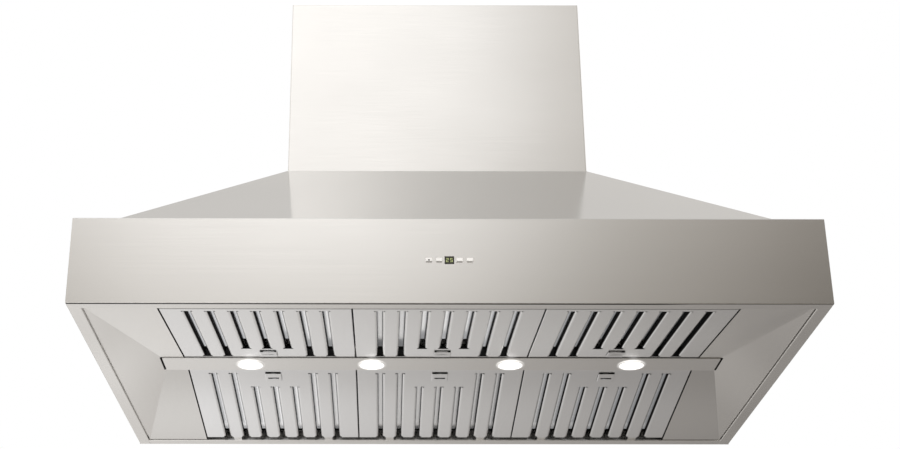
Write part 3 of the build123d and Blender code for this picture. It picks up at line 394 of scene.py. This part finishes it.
def bend_shade(n):
    """Shade on the lower part of the bend under the front band."""
    normal = n.split(n.coordinate("Normal"))
    place = n.split(n.coordinate("Object"))
    low = n.math("LESS_THAN", place["Z"], BEND_RISE)
    bend = n.math("MULTIPLY", low, n.math("LESS_THAN", normal["Y"], -BEND_SLOPE))
    return n.math("MULTIPLY", bend, n.ramp(place["X"], BEND_SHADE))


def liner_shade(n):
    """Shade in the gap round the light bar's end, and a little on the rear cheek."""
    normal = n.split(n.coordinate("Normal"))
    place = n.split(n.coordinate("Object"))
    close = n.math("LESS_THAN", n.math("ABSOLUTE", place["X"]), GAP_END)
    along = n.math("ABSOLUTE", n.math("SUBTRACT", place["Y"], LAMP_Y))
    gap = n.math("MULTIPLY", close, n.math("LESS_THAN", along, GAP_SIDE))
    forward = n.math("LESS_THAN", normal["Y"], -CHEEK_SLOPE)
    return n.math("MAXIMUM", gap, n.math("MULTIPLY", forward, CHEEK_SHADE))


def web_glow(n, levels):
    """Light that the webs of the baffles catch through the slots."""
    normal = n.split(n.coordinate("Normal"))
    place = n.split(n.coordinate("Object"))
    across = n.math("MULTIPLY", n.share()["X"], STRAP_LENGTH / SLOT_PITCH)
    offset = n.math("ABSOLUTE", n.math("SUBTRACT", across, n.math("ROUND", across)))
    edge = n.ramp(place["X"], WEB_EDGE)
    start = n.math("SUBTRACT", edge, WEB_FADE)
    end = n.math("ADD", edge, WEB_FADE)
    fade = n.remap(n.math("MULTIPLY", offset, SLOT_PITCH), start, end, 1.0, 0.0, smooth=True)
    level = n.math("MULTIPLY", n.ramp(place["X"], levels), fade)
    return n.math("MULTIPLY", level, n.math("LESS_THAN", normal["Z"], -WEB_SLOPE))


def halo(n):
    """Light of the lamps on what is round them: full at a lens, gone a little past its bezel."""
    place = n.split(n.coordinate("Object"))
    side = n.math("ABSOLUTE", place["X"])
    inner, outer = (n.math("ABSOLUTE", n.math("SUBTRACT", side, x)) for x in LAMP_X)
    across = n.math("MULTIPLY", n.math("MINIMUM", inner, outer), HALO_SQUEEZE)
    along = n.math("SUBTRACT", place["Y"], LAMP_Y)
    square = n.math("ADD", n.math("MULTIPLY", across, across), n.math("MULTIPLY", along, along))
    return n.remap(n.math("SQRT", square), *HALO_REACH, HALO_GLOW, 0.0, smooth=True)


def cap_glow(n):
    """Painted highlight: extra glow on the front of a polished cap."""
    normal = n.split(n.coordinate("Normal"))
    return n.math("MULTIPLY", n.math("LESS_THAN", normal["Y"], -CAP_SLOPE), CAP_GLOW)


def stretched_noise(n, grain, scale, detail, roughness):
    """Noise drawn out along the grain."""
    along, across = scale
    stretch = [along if part else across for part in grain]
    place = n.vector("MULTIPLY", n.coordinate("Object"), stretch)
    noise = n.add("ShaderNodeTexNoise", Scale=1.0, Detail=detail, Roughness=roughness, Vector=place)
    return noise.outputs["Fac"]


def brushed(name, colour, grain, roughness=0.24, anisotropy=0.7, streak=0.012, relief=0.04,
            shade=None, glow=None, flat=False):
    """Brushed steel: fine scratches along the grain, with reflections that blur across it."""
    material, n = new_material(name)
    streaks = stretched_noise(n, grain, STREAK_SCALE, detail=3.0, roughness=0.6)
    scratches = stretched_noise(n, grain, SCRATCH_SCALE, detail=4.0, roughness=0.7)
    clouds = n.add("ShaderNodeTexNoise", Scale=CLOUD_SCALE, Detail=2.0, Vector=n.coordinate("Object"))
    tint = n.scale(colour, n.remap(streaks, *STREAK_NOISE, 1.0 - streak, 1.0 + streak))
    scratched = n.math("MULTIPLY", scratches, SCRATCH_DULLING)
    clouded = n.math("MULTIPLY", clouds.outputs["Fac"], CLOUD_DULLING)
    dulling = n.math("ADD", scratched, clouded)
    normal = n.add("ShaderNodeNewGeometry").outputs["True Normal" if flat else "Normal"]
    bump = n.add("ShaderNodeBump", Strength=relief, Distance=SCRATCH_DEPTH, Height=scratches, Normal=normal)
    turned = n.add("ShaderNodeVectorTransform", Vector=UPRIGHT if grain == LEVEL else grain)
    turned.vector_type = "VECTOR"
    turned.convert_from = "OBJECT"
    turned.convert_to = "WORLD"
    tangent = turned.outputs[0]
    if grain != LEVEL:
        tangent = n.vector("CROSS_PRODUCT", normal, tangent)
    surface = n.add("ShaderNodeBsdfPrincipled", Metallic=1.0, Anisotropic=anisotropy)
    n.put(surface, "Base Color", tint)
    n.put(surface, "Roughness", n.math("ADD", dulling, roughness - MEAN_DULLING))
    n.put(surface, "Normal", bump.outputs[0])
    n.put(surface, "Tangent", tangent)
    if glow:
        n.put(surface, "Emission Color", tint)
        n.put(surface, "Emission Strength", glow(n))
    if shade:
        dark = n.add("ShaderNodeBsdfDiffuse", Color=(*SHADE_COLOUR, 1))
        surface = n.blend(n.math("MULTIPLY", shade(n), SHADE_DEPTH), surface, dark)
    n.add("ShaderNodeOutputMaterial", Surface=surface.outputs[0])
    return material


def plain(name, colour, roughness, metallic=0.0, skin_scale=600.0, glow=0.0, glow_colour=LAMP_COLOUR):
    """Moulded, cast or painted finish with a fine uneven skin."""
    material, n = new_material(name)
    place = n.coordinate("Object")
    skin = n.add("ShaderNodeTexNoise", Scale=skin_scale, Detail=3.0, Vector=place).outputs["Fac"]
    mottle = n.add("ShaderNodeTexNoise", Scale=MOTTLE_SCALE, Detail=2.0, Vector=place).outputs["Fac"]
    smoothest = max(roughness - SKIN_DULLING, LEAST_ROUGHNESS)
    relief = n.add("ShaderNodeBump", Strength=SKIN_RELIEF, Distance=SKIN_DEPTH, Height=skin)
    surface = n.add("ShaderNodeBsdfPrincipled", Metallic=metallic)
    n.put(surface, "Base Color", n.scale(colour, n.remap(mottle, 0.0, 1.0, *MOTTLE)))
    n.put(surface, "Roughness", n.remap(skin, 0.0, 1.0, smoothest, roughness + SKIN_DULLING))
    n.put(surface, "Normal", relief.outputs[0])
    if glow:
        n.put(surface, "Emission Color", (*glow_colour, 1))
        n.put(surface, "Emission Strength", glow(n) if callable(glow) else glow)
    n.add("ShaderNodeOutputMaterial", Surface=surface.outputs[0])
    return material


def paint(material, *names):
    for name in names:
        slots = nodes[name].data.materials
        slots.clear()
        slots.append(material)


def dress_canopy():
    """Brushed sheets of the canopy, the cover and the liners."""
    paint(brushed("steel_level", STEEL_COLOUR, ALONG_X, roughness=0.2), "rear_rim", "back_panel")
    paint(brushed("steel_ends", STEEL_COLOUR, ALONG_Y),
          "left_end_panel", "right_end_panel", "left_slope_panel", "right_slope_panel")
    paint(brushed("steel_band", STEEL_COLOUR, ALONG_X, roughness=0.2, shade=bend_shade, flat=True),
          "front_band")
    paint(brushed("steel_bar", STEEL_COLOUR, ALONG_X, roughness=0.2, glow=halo), "light_bar")
    paint(brushed("steel_slope", STEEL_COLOUR, ALONG_X, roughness=0.14, anisotropy=0.85),
          "front_slope_panel")
    paint(brushed("steel_cover", STEEL_COLOUR, LEVEL, roughness=0.21, streak=0.004, relief=0.01),
          "duct_cover", "duct_cover_screws")
    paint(brushed("steel_plate", STEEL_COLOUR, ALONG_X, roughness=0.21, streak=0.004, relief=0.01),
          "top_plate")
    paint(brushed("steel_liner", STEEL_COLOUR, ALONG_Y, shade=liner_shade), "liner_left", "liner_right")


def dress_filters():
    rows = (
        ("front", FRONT_FILTERS, FRONT_ROLL_SHADE, FRONT_WEB_GLOW),
        ("rear", REAR_FILTERS, REAR_ROLL_SHADE, REAR_WEB_GLOW),
    )
    latch = brushed("steel_latch", FILTER_COLOUR, ALONG_X, shade=back_shade)
    for row, numbers, starts, levels in rows:
        face = brushed(f"steel_filter_{row}", FILTER_COLOUR, ALONG_Y, shade=lambda n: inner_shade(n, starts))
        baffle = brushed(f"steel_baffle_{row}", FILTER_COLOUR, ALONG_Y, shade=leg_shade,
                         glow=lambda n: web_glow(n, levels))
        for number in numbers:
            paint(face, f"filter_{number}_face")
            paint(baffle, f"filter_{number}_baffles")
            paint(latch, f"filter_{number}_latch")


def dress_fittings():
    """Blower, damper, lamps, controls and wiring."""
    zinc = plain("zinc", colour=(0.62, 0.64, 0.66), roughness=0.42, metallic=1.0, skin_scale=120.0)
    paint(zinc, "duct_cover_bracket", "duct_collar", "damper_flap_front", "damper_flap_rear",
          "blower_scroll", "blower_left_side", "blower_right_side", "blower_wheel", "blower_bolts",
          "motor_bracket", "junction_box", "junction_box_lid", "control_tray")
    paint(plain("shaft", colour=(0.7, 0.7, 0.71), roughness=0.25, metallic=1.0), "damper_rod", "motor_shaft")
    paint(plain("bezel", colour=(0.8, 0.8, 0.79), roughness=0.18, metallic=1.0, glow=halo), "lamp_bezels")
    paint(plain("lens", colour=(0.9, 0.9, 0.88), roughness=0.4, glow=1.2), "lamp_lenses")
    paint(plain("can", colour=(0.6, 0.61, 0.62), roughness=0.5, metallic=1.0), "lamp_cans")
    paint(plain("button", colour=(0.88, 0.87, 0.85), roughness=0.38, metallic=1.0, glow=cap_glow),
          "button_fan", "button_slower", "button_faster", "button_light")
    paint(plain("smoked", colour=(0.045, 0.045, 0.035), roughness=0.12), "display_window")
    paint(plain("black", colour=(0.02, 0.02, 0.02), roughness=0.5), "display_module")
    paint(plain("board", colour=(0.03, 0.2, 0.09), roughness=0.3), "control_board")
    paint(plain("motor", colour=(0.04, 0.04, 0.045), roughness=0.45), "motor")
    paint(plain("gland", colour=(0.03, 0.03, 0.03), roughness=0.55), "cable_gland")


def light_digits():
    """Two glowing seven-segment digits on the display window."""
    low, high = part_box("display_window")
    middle = ((low[0] + high[0]) / 2, (low[2] + high[2]) / 2)
    half = DIGIT_STROKE / 2
    reach = (DIGIT_SIZE[0] / 2 - half, DIGIT_SIZE[1] / 2 - half)
    walls = [(i + 4, (i + 1) % 4 + 4, (i + 1) % 4, i) for i in range(4)]
    corners = []
    faces = []
    for side, segments in zip((-1, 1), DIGITS):
        x = middle[0] + side * DIGIT_SPREAD
        for segment in segments:
            left, bottom, right, top = SEGMENTS[segment]
            x0, x1 = x + left * reach[0] - half, x + right * reach[0] + half
            z0, z1 = middle[1] + bottom * reach[1] - half, middle[1] + top * reach[1] + half
            first = len(corners)
            for y in (low[1] - SIGN_PROUD, low[1]):
                corners += [(x0, y, z0), (x1, y, z0), (x1, y, z1), (x0, y, z1)]
            for face in [(0, 1, 2, 3), (7, 6, 5, 4)] + walls:
                faces.append([first + corner for corner in face])
    material = plain("digit", colour=(0.1, 0.1, 0.05), roughness=0.5, glow=1.0, glow_colour=DIGIT_COLOUR)
    digits = new_object("display_digits", corners, faces, material)
    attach(digits, "canopy")


def mark_button():
    """Small dark dot on the fan's button."""
    low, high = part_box("button_fan")
    middle = ((low[0] + high[0]) / 2, (low[2] + high[2]) / 2 + DOT_RISE)
    turns = [2 * math.pi * index / DOT_CORNERS for index in range(DOT_CORNERS)]
    corners = []
    for y in (low[1] - SIGN_PROUD, low[1]):
        for turn in turns:
            x = middle[0] + DOT_RADIUS * math.cos(turn)
            z = middle[1] + DOT_RADIUS * math.sin(turn)
            corners.append((x, y, z))
    faces = [tuple(range(DOT_CORNERS))]
    for index in range(DOT_CORNERS):
        after = (index + 1) % DOT_CORNERS
        faces.append((after, index, index + DOT_CORNERS, after + DOT_CORNERS))
    dot = new_object("fan_dot", corners, faces, plain("dot", colour=(0.05, 0.05, 0.05), roughness=0.5))
    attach(dot, "button_fan")


place_camera()
light_studio()
lay_floor()
hang_card()
dress_canopy()
dress_filters()
dress_fittings()
light_digits()
mark_button()

bpy.context.scene.view_settings.view_transform = "Standard"
